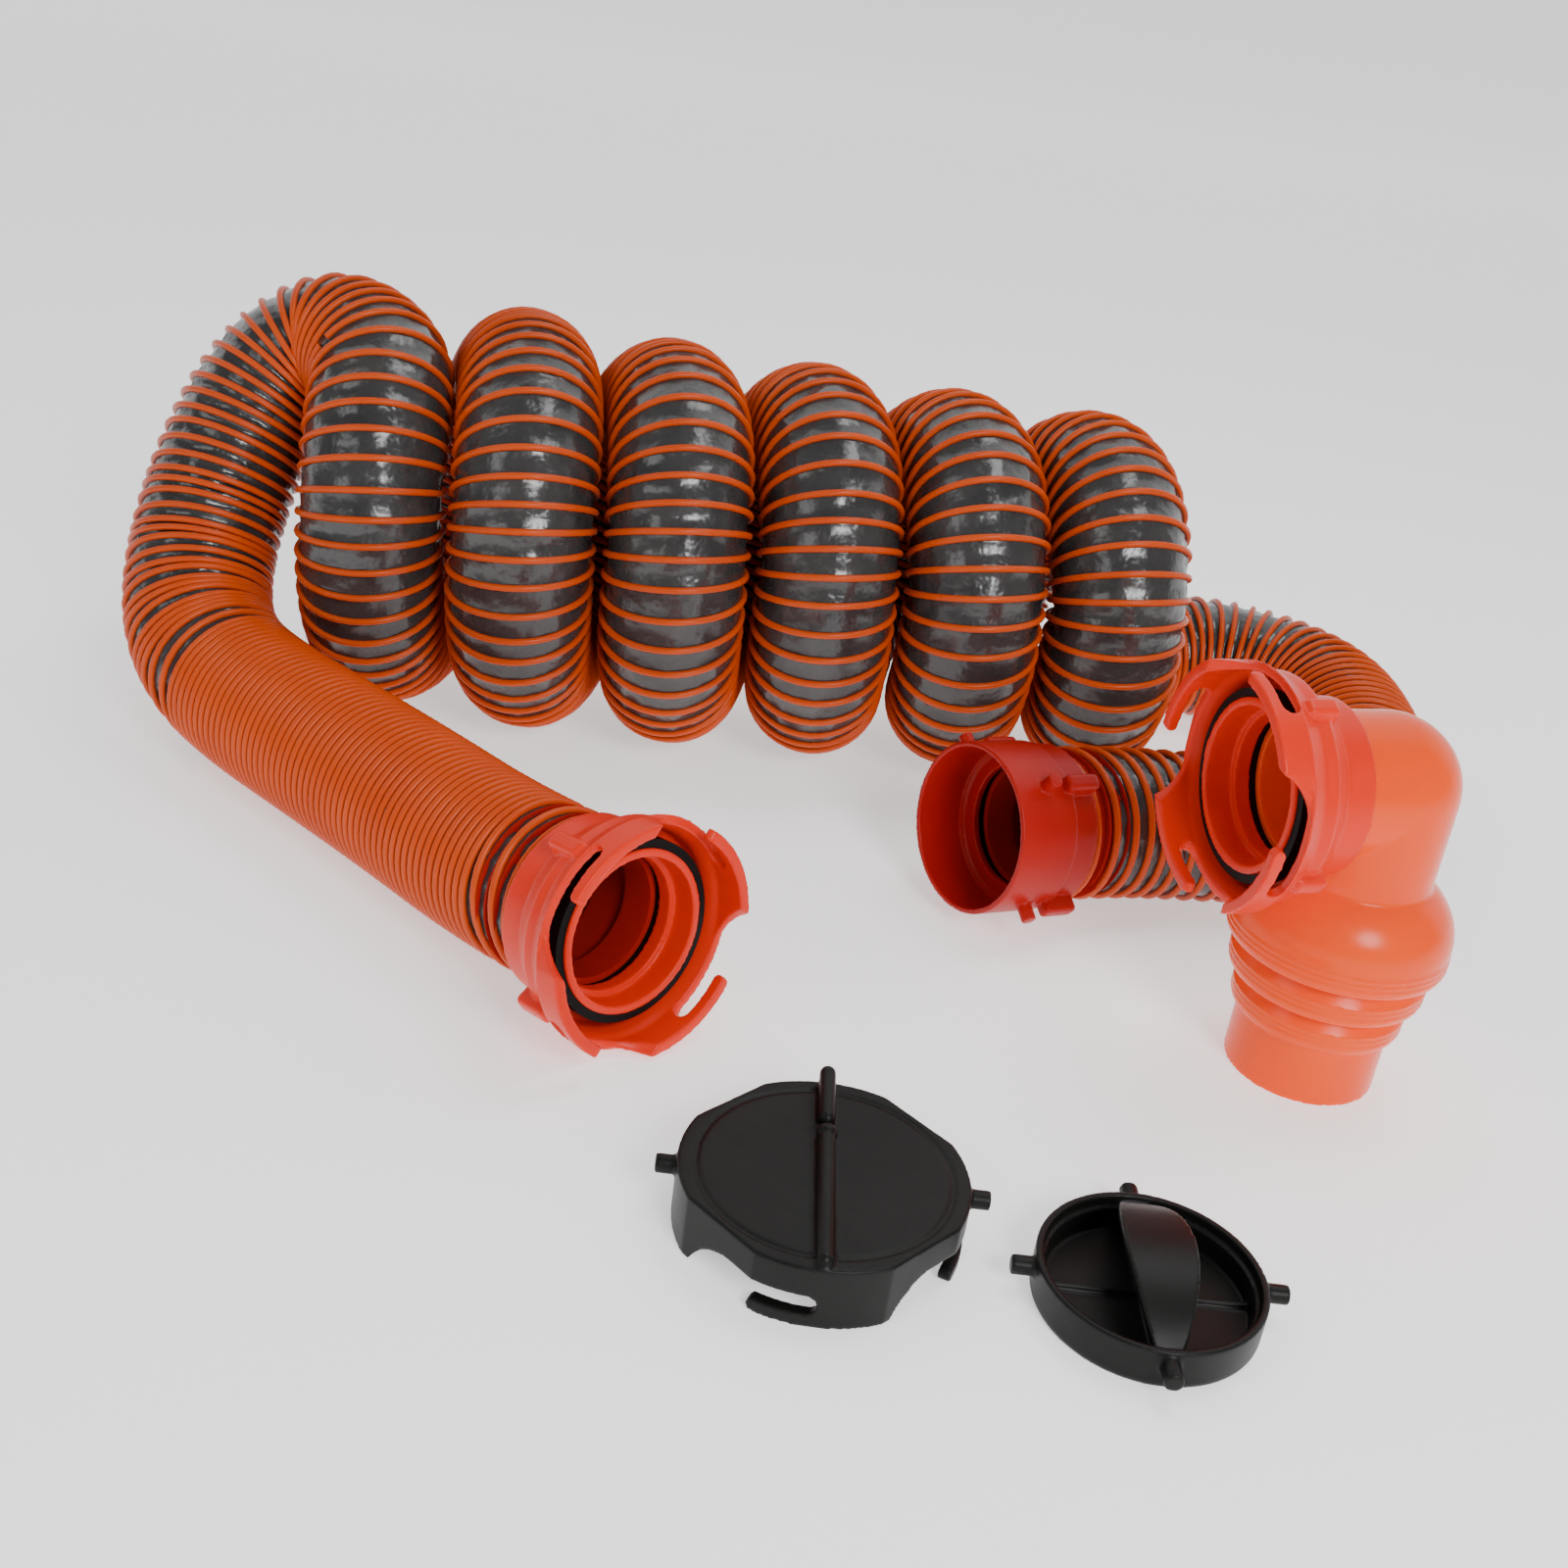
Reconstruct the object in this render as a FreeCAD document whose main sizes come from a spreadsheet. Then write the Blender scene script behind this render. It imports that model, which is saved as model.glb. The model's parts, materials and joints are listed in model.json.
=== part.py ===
"""Sewer hose kit: an 86 mm corrugated hose, laid down in six turns, with a swivelling bayonet
fitting on one end and a swivelling lug fitting on the other, a 90 degree elbow with a stepped
adapter, and two caps.  Millimetres, +Z up, origin on the floor below the middle of the fittings."""
import FreeCAD, Part
import math
import os
import re

doc = FreeCAD.newDocument("sewer_hose_kit")
V = FreeCAD.Vector

# ---------------------------------------------------------------- driving dimensions
SIZES = [
    # hose
    ("hose_radius", 43.0),
    ("hose_wall", 1.0),
    ("coil_pitch", 89.3),
    ("coil_heading", 5.24),
    ("coil_lean", -6.6),
    ("coil_tie_radius", 12.0),
    ("turn_radius_first", 87.0),
    ("turn_radius_last", 72.6),
    # swivel joint that all three turning rings share; depths run back from the shoulder
    ("chamber_radius", 38.0),
    ("flange_radius", 37.92),
    ("neck_radius", 34.5),
    ("neck_bore", 31.5),
    ("end_gap", 0.3),
    ("seal_thickness", 3.7),
    ("seal_inner", 34.6),
    ("flange_thickness", 7.0),
    ("clip_thickness", 2.4),
    ("clip_inner", 35.0),
    ("clip_outer", 39.6),
    ("clip_slit", 7.0),
    ("ring_back", 18.2),
    ("barb_length", 30.0),
    ("barb_core", 39.0),
    ("barb_root", 39.2),
    ("barb_pitch", 7.0),
    ("barb_gap", 1.0),
    ("bore_step", 4.0),
    ("barb_bore", 35.5),
    ("hose_gap", 0.4),
    # bayonet ring, from the shoulder towards the mouth
    ("hose_collar_radius", 45.5),
    ("elbow_collar_radius", 41.0),
    ("flare_start", -4.0),
    ("flare_end", 8.0),
    ("mouth_wall_outer", 52.5),
    ("mouth_wall_inner", 48.5),
    ("throat_radius", 33.0),
    ("socket_radius", 36.0),
    ("socket_floor", 8.3),
    ("gasket_seat", 7.0),
    ("gasket_inner", 40.0),
    ("gasket_outer", 44.3),
    ("gasket_length", 8.0),
    ("seal_plane", 20.3),
    ("socket_lip", 1.5),
    ("bell_length", 8.0),
    ("bell_lip", 57.1),
    ("crown_base", 22.8),
    ("crown_height", 14.5),
    ("crown_outer", 57.5),
    ("crown_flat", 55.0),
    ("crown_inner", 52.0),
    ("slot_height", 8.5),
    ("slot_end", 22.0),
    ("hook_tip", 5.0),
    ("valley_end", 19.0),
    ("slope_end", 35.0),
    ("mouth_tab_reach", 57.0),
    ("mouth_tab_end", 18.5),
    ("hose_tab_start", -2.0),
    ("elbow_tab_start", 3.0),
    # lug ring, from the shoulder towards the rim
    ("rim_outer", 46.5),
    ("rim_inner", 43.5),
    ("rim_plane", 34.8),
    ("barrel_back", 2.2),
    ("sleeve_outer", 44.5),
    ("bore_floor", 5.8),
    ("step_radius", 41.0),
    ("step_floor", 4.3),
    ("lug_radius", 4.0),
    ("lug_tip", 56.0),
    ("lug_behind_rim", 20.0),
    # grip tabs
    ("tab_width", 9.0),
    ("tab_rise", 6.0),
    ("tab_length", 20.0),
    ("tab_round", 2.4),
    ("tab_root", 2.0),
    # elbow with stepped adapter
    ("pipe_outer", 36.5),
    ("pipe_bore", 33.0),
    ("corner_outer", 35.2),
    ("inlet_height", 155.0),
    ("inlet_shoulder", 30.0),
    ("ring_room", 0.5),
    ("small_tier", 41.0),
    ("middle_tier", 46.5),
    ("large_tier", 52.0),
    ("small_tier_base", 31.0),
    ("middle_tier_base", 50.0),
    ("large_tier_base", 69.0),
    ("dome_base", 84.0),
    ("dome_rise", 37.0),
    ("tier_nose", 4.5),
    ("tier_wall", 3.2),
    ("tier_land", 7.5),
    ("tier_taper", 4.0),
    ("tier_floor", 5.0),
    ("ridge_rise", 0.7),
    ("ridge_half", 0.9),
    ("ridge_pitch", 2.9),
    ("inlet_reach", 60.0),
    ("neck_base", 102.0),
    ("neck_top", 116.0),
    # caps
    ("cap_height", 28.5),
    ("cap_outer", 60.0),
    ("cap_flat", 56.8),
    ("cap_hook_inner", 54.5),
    ("cap_top", 3.0),
    ("cap_pin_reach", 68.5),
    ("cap_pin_depth", 6.5),
    ("cap_recess_outer", 54.0),
    ("cap_recess_inner", 51.0),
    ("cap_recess_depth", 0.8),
    ("cap_handle_radius", 3.6),
    ("cap_handle_reach", 55.0),
    ("cap_handle_front_rise", 1.0),
    ("cap_collar_radius", 4.5),
    ("cap_collar_length", 3.0),
    ("cap_handle_rise", 4.5),
    ("cap_handle_back_rise", 7.5),
    ("cap_eye_start", 19.0),
    ("cap_eye_end", 28.0),
    ("cap_seal_inner", 41.0),
    ("cap_seal_outer", 47.5),
    ("cap_seal_thickness", 2.6),
    ("dish_height", 18.0),
    ("dish_floor", 3.0),
    ("dish_foot_radius", 45.5),
    ("dish_foot_height", 2.0),
    ("dish_inner", 41.5),
    ("dish_step_depth", 5.0),
    ("dish_lug_height", 12.0),
    ("paddle_width", 29.0),
    ("paddle_end_width", 10.5),
    ("paddle_crown", 33.0),
    ("paddle_thickness", 4.0),
    ("paddle_reach", 42.0),
    ("paddle_foot", 15.0),
    ("web_thickness", 4.0),
    ("rib_width", 2.2),
    ("rib_height", 3.5),
    # where things stand, before the origin is moved
    ("origin_x", 94.78),
    ("origin_y", 700.92),
]
sheet = doc.addObject("Spreadsheet::Sheet", "Sizes")
for row, (alias, value) in enumerate(SIZES, start=1):
    sheet.set(f"A{row}", alias)
    sheet.set(f"B{row}", str(value))
    sheet.setAlias(f"B{row}", alias)
doc.recompute()
size = {alias: float(sheet.get(alias)) for alias, _ in SIZES}
OVER = 1  # how far a cutting tool or a root runs past the face it meets
LUGS = 4
ALIAS = re.compile(r"\b(" + "|".join(alias for alias, _ in SIZES) + r")\b")


def bind(obj, prop, expression):
    """Bind a property to the sheet; bare aliases stand for the sheet's cells."""
    obj.setExpression(prop, ALIAS.sub(r"Sizes.\1", str(expression)))


def spot(x, y, z):
    """A point of the layout in the part's own frame."""
    return V(x - size["origin_x"], y - size["origin_y"], z)


def heading(azimuth, tilt=0.0):
    """The unit vector at an azimuth from +X, tilted up, both in degrees."""
    turn = math.radians(azimuth)
    rise = math.radians(tilt)
    return V(math.cos(turn) * math.cos(rise), math.sin(turn) * math.cos(rise), math.sin(rise))


# ---------------------------------------------------------------- shared builders
def turned(name, profile):
    """Solids of revolution about Z, fused: each entry is bottom radius, top radius, bottom, top."""
    pieces = []
    for number, (low_radius, high_radius, low, high) in enumerate(profile):
        if low_radius == high_radius:
            piece = doc.addObject("Part::Cylinder", f"{name}_{number}")
            bind(piece, "Radius", low_radius)
        else:
            piece = doc.addObject("Part::Cone", f"{name}_{number}")
            bind(piece, "Radius1", low_radius)
            bind(piece, "Radius2", high_radius)
        bind(piece, "Height", f"({high}) - ({low})")
        bind(piece, "Placement.Base.z", low)
        pieces.append(piece)
    return fused(f"{name}_stack", pieces)


def fused(name, pieces):
    if len(pieces) == 1:
        return pieces[0]
    union = doc.addObject("Part::MultiFuse", name)
    union.Shapes = pieces
    return union


def cut(name, base, tool):
    result = doc.addObject("Part::Cut", name)
    result.Base = base
    result.Tool = tool
    return result


def radial_cylinder(name, radius, reach, height, angle, start="0"):
    """A cylinder lying along a radius at an angle about Z, from start out to reach."""
    rod = doc.addObject("Part::Cylinder", name)
    bind(rod, "Radius", radius)
    bind(rod, "Height", f"({reach}) - ({start})")
    turn = FreeCAD.Rotation(V(0, 0, 1), angle)
    rod.Placement.Rotation = turn.multiply(FreeCAD.Rotation(V(0, 1, 0), 90))
    bind(rod, "Placement.Base.x", f"({start}) * cos({angle})")
    bind(rod, "Placement.Base.y", f"({start}) * sin({angle})")
    bind(rod, "Placement.Base.z", height)
    return rod


def grip_tabs(name, inner, outer, back, length, first_angle):
    """Four rounded blocks round a collar."""
    tabs = []
    for number in range(4):
        angle = first_angle + 90 * number
        block = doc.addObject("Part::Box", f"{name}_block_{number}")
        bind(block, "Length", f"({outer}) - ({inner})")
        bind(block, "Width", "tab_width")
        bind(block, "Height", length)
        bind(block, "Placement.Base.x", f"({inner}) * cos({angle}) + tab_width / 2 * sin({angle})")
        bind(block, "Placement.Base.y", f"({inner}) * sin({angle}) - tab_width / 2 * cos({angle})")
        bind(block, "Placement.Base.z", back)
        block.Placement.Rotation = FreeCAD.Rotation(V(0, 0, 1), angle)
        tab = doc.addObject("Part::Fillet", f"{name}_{number}")
        tab.Base = block
        tab.Edges = [(edge, size["tab_round"], size["tab_round"]) for edge in range(1, 13)]
        tabs.append(tab)
    return tabs


def origin_plane(body, role):
    return next(item for item in body.Origin.OriginFeatures if item.Role == role)


def add_sketch(body, name, role, offset=0.0):
    sketch = body.newObject("Sketcher::SketchObject", name)
    sketch.AttachmentSupport = [(origin_plane(body, role), "")]
    sketch.MapMode = "FlatFace"
    sketch.AttachmentOffset = FreeCAD.Placement(V(0, 0, offset), FreeCAD.Rotation())
    return sketch


def flatted_circle(radius, flat, first_angle):
    """A circle with four flats, as arcs and lines that meet end to end."""
    half = math.degrees(math.acos(flat / radius))
    edges = []
    for number in range(4):
        middle = first_angle + 90 * number
        start, end = middle - half, middle + half
        corner = [V(radius * math.cos(math.radians(a)), radius * math.sin(math.radians(a)), 0)
                  for a in (start, end)]
        edges.append(Part.LineSegment(corner[0], corner[1]))
        round_part = Part.Circle(V(0, 0, 0), V(0, 0, 1), radius)
        edges.append(Part.ArcOfCircle(round_part, math.radians(end), math.radians(start + 90)))
    return edges


# each hook's slot ends in the middle of a round lobe, half way between two flats
SLOT_END_ANGLE = math.degrees(math.asin(size["slot_end"] / size["crown_outer"]))
CROWN_FLAT_ANGLE = 45 - SLOT_END_ANGLE


def hook_crown(name, outer, flat, inner):
    """The wavy crown of four J hooks, base at z = 0: each arm runs anticlockwise, seen from +Z."""
    body = doc.addObject("PartDesign::Body", name)
    outline = add_sketch(body, f"{name}_outline", "XY_Plane")
    outline.addGeometry(flatted_circle(outer, flat, CROWN_FLAT_ANGLE))
    outline.addGeometry(Part.Circle(V(0, 0, 0), V(0, 0, 1), inner))
    pad = body.newObject("PartDesign::Pad", f"{name}_pad")
    pad.Profile = outline
    bind(pad, "Length", "crown_height")
    doc.recompute()

    top = size["crown_height"] + OVER
    slot, tip = size["slot_height"], size["hook_tip"]
    arm_middle = (slot + size["crown_height"]) / 2
    arm_half = (size["crown_height"] - slot) / 2
    closed = -size["slot_end"]
    window = add_sketch(body, f"{name}_window", "XZ_Plane")
    window.addGeometry([
        Part.LineSegment(V(size["slope_end"] + OVER, top, 0), V(tip - arm_half, top, 0)),
        Part.LineSegment(V(tip - arm_half, top, 0), V(tip - arm_half, top - OVER, 0)),
        Part.Arc(V(tip - arm_half, top - OVER, 0), V(tip, arm_middle, 0), V(tip - arm_half, slot, 0)),
        Part.LineSegment(V(tip - arm_half, slot, 0), V(closed + slot / 2, slot, 0)),
        Part.Arc(V(closed + slot / 2, slot, 0), V(closed, slot / 2, 0), V(closed + slot / 2, 0, 0)),
        Part.LineSegment(V(closed + slot / 2, 0, 0), V(closed + slot / 2, -OVER, 0)),
        Part.LineSegment(V(closed + slot / 2, -OVER, 0), V(size["valley_end"], -OVER, 0)),
        Part.LineSegment(V(size["valley_end"], -OVER, 0), V(size["valley_end"], 0, 0)),
        Part.Arc(V(size["valley_end"], 0, 0),
                 V((size["valley_end"] + size["slope_end"]) / 2 + 1.5, slot / 2 + 0.5, 0),
                 V(size["slope_end"] + OVER, top, 0)),
    ])
    pocket = body.newObject("PartDesign::Pocket", f"{name}_cut")
    pocket.Profile = window
    bind(pocket, "Length", f"{outer + OVER}")
    doc.recompute()
    whole = pad.Shape.Volume
    if pocket.Shape.CenterOfGravity.y < 0:
        pocket.Reversed = True
        doc.recompute()
    if pocket.Shape.CenterOfGravity.y < 0 or pocket.Shape.Volume > 0.99 * whole:
        raise RuntimeError(f"{name}: the hook window isn't cut on the -Y side")
    hooks = body.newObject("PartDesign::PolarPattern", f"{name}_hooks")
    hooks.Originals = [pocket]
    hooks.Axis = (next(item for item in body.Origin.OriginFeatures if item.Role == "Z_Axis"), [""])
    hooks.Angle = 360
    hooks.Occurrences = LUGS
    body.Tip = hooks
    doc.recompute()
    if hooks.Shape.Volume > pocket.Shape.Volume - 2.5 * (whole - pocket.Shape.Volume):
        raise RuntimeError(f"{name}: the hook windows are not repeated")
    return body


# ---------------------------------------------------------------- where each group stands
class Seat:
    """A turning axis: the shoulder's centre, the direction of the mouth and a roll about it."""

    def __init__(self, mouth, direction, mouth_offset, roll=0.0):
        self.direction = direction
        self.origin = mouth - direction * mouth_offset
        self.rotation = FreeCAD.Rotation(V(0, 0, 1), direction).multiply(
            FreeCAD.Rotation(V(0, 0, 1), roll))

    def placement(self):
        return FreeCAD.Placement(self.origin, self.rotation)

    def along(self, distance):
        return self.origin + self.direction * distance


bayonet_seat = Seat(spot(-59, 680, 57.4), heading(-42.05, 7.0), size["seal_plane"], roll=6.5)
lug_seat = Seat(spot(100.5, 834, 56.5), heading(213.0, 6.0), size["rim_plane"], roll=86)
elbow_base = spot(273, 738, 0)
elbow_heading = heading(197.7)
elbow_seat = Seat(elbow_base + V(0, 0, size["inlet_height"])
                  + elbow_heading * (size["inlet_shoulder"] + size["ring_back"]
                                     + size["hose_gap"] + size["seal_plane"]),
                  elbow_heading, size["seal_plane"], roll=10)
cap_bayonet_base = spot(37.7, 566, 0)
cap_lug_base = spot(171, 546, 0)

parts = {}


def keep(name, obj, placement=None):
    """Label a finished sub-part, set it in its place and remember it for export."""
    obj.Label = name
    if placement is not None:
        obj.Placement = placement
    parts[name] = obj


# ---------------------------------------------------------------- swivel pieces
SEAL_FRONT = "-end_gap"
FLANGE_FRONT = "-(end_gap + seal_thickness)"
FLANGE_BACK = "-(end_gap + seal_thickness + flange_thickness)"
CLIP_FRONT = "-(2 * end_gap + seal_thickness + flange_thickness)"
CLIP_BACK = "-(2 * end_gap + seal_thickness + flange_thickness + clip_thickness)"


def swivel_seal(name, seat):
    outer = turned(f"{name}_outer", [("flange_radius", "flange_radius", FLANGE_FRONT, SEAL_FRONT)])
    inner = turned(f"{name}_inner", [("seal_inner", "seal_inner", f"{FLANGE_FRONT} - {OVER}",
                                      f"{OVER}")])
    keep(name, cut(f"{name}_ring", outer, inner), seat.placement())


def retaining_ring(name, seat):
    """A split wire clip of flat section that sits in the ring's groove."""
    outer = turned(f"{name}_outer", [("clip_outer", "clip_outer", CLIP_BACK, CLIP_FRONT)])
    inner = turned(f"{name}_inner", [("clip_inner", "clip_inner", f"{CLIP_BACK} - {OVER}",
                                      f"{OVER}")])
    slit = doc.addObject("Part::Box", f"{name}_slit")
    bind(slit, "Length", f"clip_outer + {OVER}")
    bind(slit, "Width", "clip_slit")
    bind(slit, "Height", "ring_back")
    bind(slit, "Placement.Base.y", "-clip_slit / 2")
    bind(slit, "Placement.Base.z", "-ring_back")
    keep(name, cut(f"{name}_split", outer, fused(f"{name}_tools", [inner, slit])), seat.placement())


BARBS = 4


def hose_nipple(name, seat):
    """The barbed tube that the hose is fixed to, with the flange that the ring turns on."""
    hose_face = "-(ring_back + hose_gap)"
    outer = [("flange_radius", "flange_radius", FLANGE_BACK, FLANGE_FRONT),
             ("neck_radius", "neck_radius", hose_face, FLANGE_BACK),
             ("barb_core", "barb_core", f"{hose_face} - barb_length", hose_face)]
    for number in range(BARBS):
        low = f"({hose_face} - {number + 1} * barb_pitch - barb_gap)"
        outer.append(("barb_root", "hose_radius - hose_wall", low,
                      f"{low} + barb_pitch - 2 * barb_gap"))
    bore = [("neck_bore", "neck_bore", f"{hose_face} - bore_step - {OVER}", f"{OVER}"),
            ("barb_bore", "barb_bore", f"{hose_face} - barb_length - {OVER}",
             f"{hose_face} - bore_step")]
    keep(name, cut(f"{name}_bored", turned(f"{name}_outer", outer), turned(f"{name}_bore", bore)),
         seat.placement())


def chamber_profile():
    """The bore behind the shoulder: the flange's chamber and the clip's groove."""
    return [("chamber_radius", "chamber_radius", f"-(ring_back + {OVER})", "0"),
            ("clip_outer", "clip_outer", CLIP_BACK, CLIP_FRONT)]


MOUTH_TAB_ANGLE = 72  # a grip tab stands behind the closed end of each slot


def bayonet_ring(name, seat, collar, tab_start):
    """The turning head with four hooks, an annular gasket seat and a stepped socket."""
    shell = turned(f"{name}_shell", [
        (collar, collar, "-ring_back", "flare_start"),
        (collar, "mouth_wall_outer", "flare_start", "flare_end"),
        ("mouth_wall_outer", "mouth_wall_outer", "flare_end", "crown_base - bell_length"),
        ("mouth_wall_outer", "bell_lip", "crown_base - bell_length", "crown_base")])
    cavity = turned(f"{name}_cavity", [
        ("mouth_wall_inner", "mouth_wall_inner", "gasket_seat", "crown_base - bell_length"),
        ("mouth_wall_inner", "crown_inner", "crown_base - bell_length", f"crown_base - {OVER}"),
        ("crown_inner", "crown_inner", f"crown_base - {OVER}", f"crown_base + {OVER}")])
    socket = turned(f"{name}_socket", [("gasket_inner", "gasket_inner", f"gasket_seat - {OVER}",
                                        "seal_plane + socket_lip")])
    crown = hook_crown(f"{name}_crown", size["crown_outer"], size["crown_flat"],
                       size["crown_inner"])
    bind(crown, "Placement.Base.z", "crown_base")
    tabs = grip_tabs(f"{name}_tab", f"{collar} - tab_root", "mouth_tab_reach", tab_start,
                     f"mouth_tab_end - {tab_start}", MOUTH_TAB_ANGLE)
    outside = fused(f"{name}_outside", [shell] + tabs)
    solid = fused(f"{name}_solid", [cut(f"{name}_open", outside, cavity), socket, crown])
    bore = turned(f"{name}_bore", chamber_profile() + [
        ("throat_radius", "throat_radius", f"-{OVER}", f"socket_floor + {OVER}"),
        ("socket_radius", "socket_radius", "socket_floor", f"seal_plane + socket_lip + {OVER}")])
    keep(name, cut(f"{name}_bored", solid, bore), seat.placement())


def gasket(name, seat):
    outer = turned(f"{name}_outer", [("gasket_outer", "gasket_outer",
                                      "seal_plane - gasket_length", "seal_plane")])
    inner = turned(f"{name}_inner", [("gasket_inner", "gasket_inner",
                                      f"seal_plane - gasket_length - {OVER}",
                                      f"seal_plane + {OVER}")])
    keep(name, cut(f"{name}_ring", outer, inner), seat.placement())


def lug_ring(name, seat):
    """The turning head with four lugs on a smooth barrel, and grip tabs behind them."""
    shell = turned(f"{name}_shell", [("rim_outer", "rim_outer", "-barrel_back", "rim_plane"),
                                     ("sleeve_outer", "sleeve_outer", "-ring_back", "-barrel_back")])
    lugs = [radial_cylinder(f"{name}_lug_{number}", "lug_radius", "lug_tip",
                            "rim_plane - lug_behind_rim", 360 / LUGS * number,
                            f"rim_inner + {OVER}")
            for number in range(LUGS)]
    tabs = grip_tabs(f"{name}_tab", "sleeve_outer - tab_root", f"rim_outer + tab_rise + {OVER}",
                     f"{OVER} - ring_back", f"tab_length + {OVER}", 0)
    bore = turned(f"{name}_bore", chamber_profile() + [
        ("throat_radius", "throat_radius", f"-{OVER}", f"step_floor + {OVER}"),
        ("step_radius", "step_radius", "step_floor", f"bore_floor + {OVER}"),
        ("rim_inner", "rim_inner", "bore_floor", f"rim_plane + {OVER}")])
    keep(name, cut(f"{name}_bored", fused(f"{name}_solid", [shell] + lugs + tabs), bore),
         seat.placement())


bayonet_ring("bayonet_ring", bayonet_seat, "hose_collar_radius", "hose_tab_start")
gasket("bayonet_gasket", bayonet_seat)
hose_nipple("bayonet_nipple", bayonet_seat)
swivel_seal("bayonet_swivel_seal", bayonet_seat)
retaining_ring("bayonet_retaining_ring", bayonet_seat)

lug_ring("lug_ring", lug_seat)
hose_nipple("lug_nipple", lug_seat)
swivel_seal("lug_swivel_seal", lug_seat)
retaining_ring("lug_retaining_ring", lug_seat)

bayonet_ring("elbow_bayonet_ring", elbow_seat, "elbow_collar_radius", "elbow_tab_start")
gasket("elbow_gasket", elbow_seat)
swivel_seal("elbow_swivel_seal", elbow_seat)
retaining_ring("elbow_retaining_ring", elbow_seat)


# ---------------------------------------------------------------- elbow
RIDGES = 3


def tier(name, radius, base, top, tapered=True):
    """One step of the adapter: a rounded nose, a threaded land and mostly a taper above it."""
    nose = doc.addObject("Part::Torus", f"{name}_nose")
    bind(nose, "Radius1", f"{radius} - tier_nose")
    bind(nose, "Radius2", "tier_nose")
    bind(nose, "Placement.Base.z", f"{base} + tier_nose")
    land_end = f"{base} + tier_nose + tier_land"
    land = turned(f"{name}_land", [
        (f"{radius} - tier_nose", f"{radius} - tier_nose", base, f"{base} + tier_nose + {OVER}"),
        (radius, radius, f"{base} + tier_nose", land_end),
        (radius, f"{radius} - tier_taper" if tapered else radius, land_end, top)])
    ridges = []
    for number in range(RIDGES):
        low = f"({base} + tier_nose + {number} * ridge_pitch)"
        crest = f"({radius} + ridge_rise)"
        ridges.append(turned(f"{name}_ridge_{number}", [
            (radius, crest, low, f"{low} + ridge_half"),
            (crest, radius, f"{low} + ridge_half", f"{low} + 2 * ridge_half")]))
    return [nose, land] + ridges


def lying(name, radius, start, end):
    """A cylinder along the inlet's axis, which is local +X, at the inlet's height."""
    rod = doc.addObject("Part::Cylinder", name)
    bind(rod, "Radius", radius)
    bind(rod, "Height", f"({end}) - ({start})")
    rod.Placement.Rotation = FreeCAD.Rotation(V(0, 1, 0), 90)
    bind(rod, "Placement.Base.x", start)
    bind(rod, "Placement.Base.z", "inlet_height")
    return rod


def corner_ball(name, radius):
    ball = doc.addObject("Part::Sphere", name)
    bind(ball, "Radius", radius)
    bind(ball, "Placement.Base.z", "inlet_height")
    return ball


def elbow_body(name):
    """Upright pipe with three stepped threads and a dome, a ball corner and a lying inlet."""
    pieces = [turned(f"{name}_pipe", [("pipe_outer", "pipe_outer", "0", "neck_base"),
                                      ("pipe_outer", "corner_outer", "neck_base", "neck_top"),
                                      ("corner_outer", "corner_outer", "neck_top",
                                       "inlet_height")]),
              corner_ball(f"{name}_corner", "corner_outer"),
              lying(f"{name}_inlet", "corner_outer", "0", "inlet_shoulder")]
    pieces += tier(f"{name}_small", "small_tier", "small_tier_base", "middle_tier_base")
    pieces += tier(f"{name}_middle", "middle_tier", "middle_tier_base", "large_tier_base")
    pieces += tier(f"{name}_large", "large_tier", "large_tier_base", "dome_base", tapered=False)
    dome = doc.addObject("Part::Ellipsoid", f"{name}_dome")
    bind(dome, "Radius1", "dome_rise")
    bind(dome, "Radius2", "large_tier")
    dome.Angle1 = 0
    bind(dome, "Placement.Base.z", "dome_base")
    pieces.append(dome)
    outside = fused(f"{name}_outside", pieces)
    room = lying(f"{name}_ring_room", "elbow_collar_radius + ring_room", "inlet_shoulder",
                 "inlet_shoulder + inlet_reach")
    shoulder_x = "(inlet_shoulder + hose_gap + ring_back)"
    neck = lying(f"{name}_neck", "neck_radius", f"inlet_shoulder - {OVER}",
                 f"{shoulder_x} + ({FLANGE_BACK})")
    flange = lying(f"{name}_flange", "flange_radius", f"{shoulder_x} + ({FLANGE_BACK})",
                   f"{shoulder_x} + ({FLANGE_FRONT})")
    solid = fused(f"{name}_solid", [cut(f"{name}_notched", outside, room), neck, flange])
    cavities = []
    for radius, base, top in (("small_tier", "small_tier_base", "middle_tier_base"),
                              ("middle_tier", "middle_tier_base", "large_tier_base")):
        inner, land_end = f"{radius} - tier_wall", f"{base} + tier_nose + tier_land"
        cavities += [(inner, inner, f"{base} + tier_floor", land_end),
                     (inner, f"{inner} - tier_taper", land_end, top)]
    bore = [turned(f"{name}_bore", cavities + [
        ("pipe_bore", "pipe_bore", f"-{OVER}", "neck_base"),
        ("pipe_bore", "neck_bore", "neck_base", "neck_top"),
        ("neck_bore", "neck_bore", "neck_top", "inlet_height"),
        ("large_tier - tier_wall", "large_tier - tier_wall", "large_tier_base + tier_floor",
         "dome_base"),
        ("large_tier - tier_wall", "pipe_bore", "dome_base", "neck_base")]),
        corner_ball(f"{name}_corner_bore", "neck_bore"),
        lying(f"{name}_inlet_bore", "neck_bore", "0", "inlet_shoulder + inlet_reach")]
    keep(name, cut(f"{name}_bored", solid, fused(f"{name}_bores", bore)),
         FreeCAD.Placement(elbow_base, FreeCAD.Rotation(V(1, 0, 0), elbow_heading)))


elbow_body("elbow_body")


# ---------------------------------------------------------------- caps
CAP_TURN = FreeCAD.Rotation(V(0, 0, 1), 2)


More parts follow.
